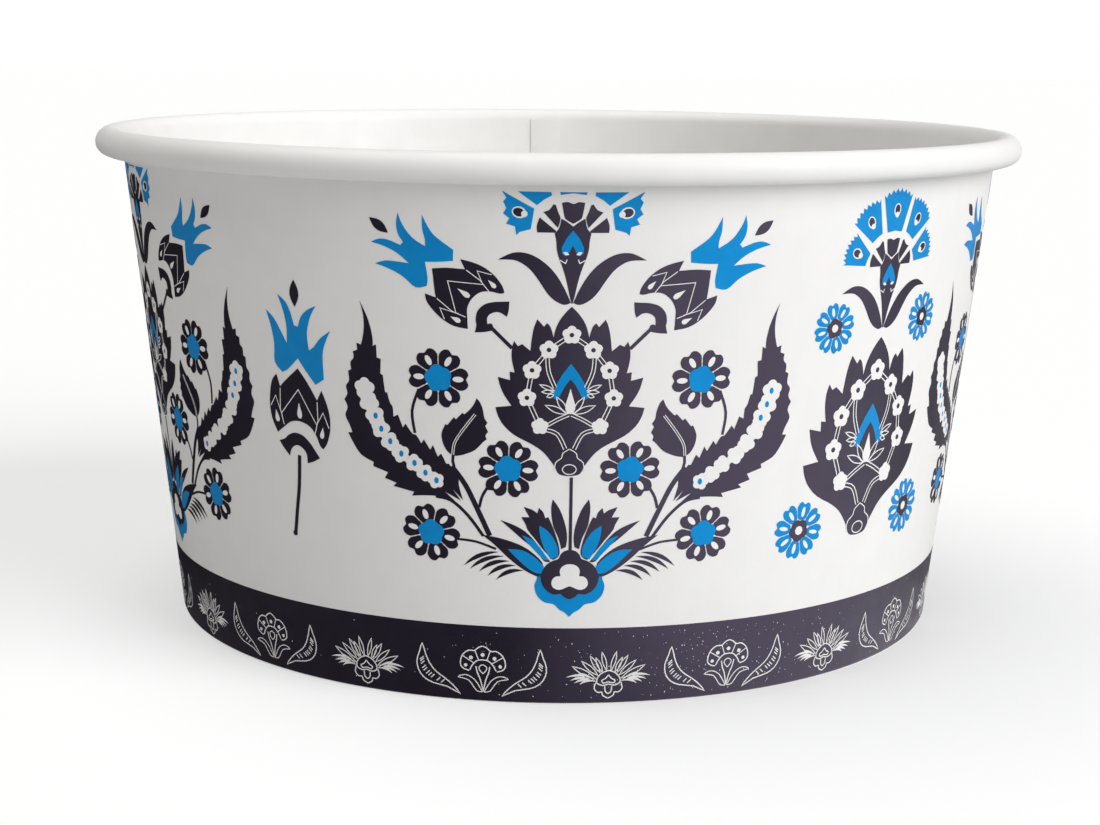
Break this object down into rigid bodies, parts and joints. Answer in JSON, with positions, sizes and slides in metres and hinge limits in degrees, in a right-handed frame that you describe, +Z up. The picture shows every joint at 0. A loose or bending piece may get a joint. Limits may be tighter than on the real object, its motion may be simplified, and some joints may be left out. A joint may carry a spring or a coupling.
{
  "type": "paper soup bowl",
  "caption": "Open round paperboard soup bowl with a rolled lid rim, a recessed base and a dark and blue flower print over a dark foot band.",
  "frame": {"origin": "centre of the foot, on the surface that the bowl stands on", "axes": "+Z up along the bowl's axis, -Y towards the front bouquet of the print"},
  "size_m": [0.15, 0.15, 0.0785],
  "materials": {
    "paperboard": "satin coated board",
    "dark_ink": "satin print, near black with a purple cast",
    "blue_ink": "satin print, bright blue"
  },
  "bodies": {
    "root": {"sidewall": "paperboard", "base_disc": "paperboard", "foot_band": "dark_ink", "dark_print": "dark_ink", "blue_print": "blue_ink"}
  },
  "joints": []
}
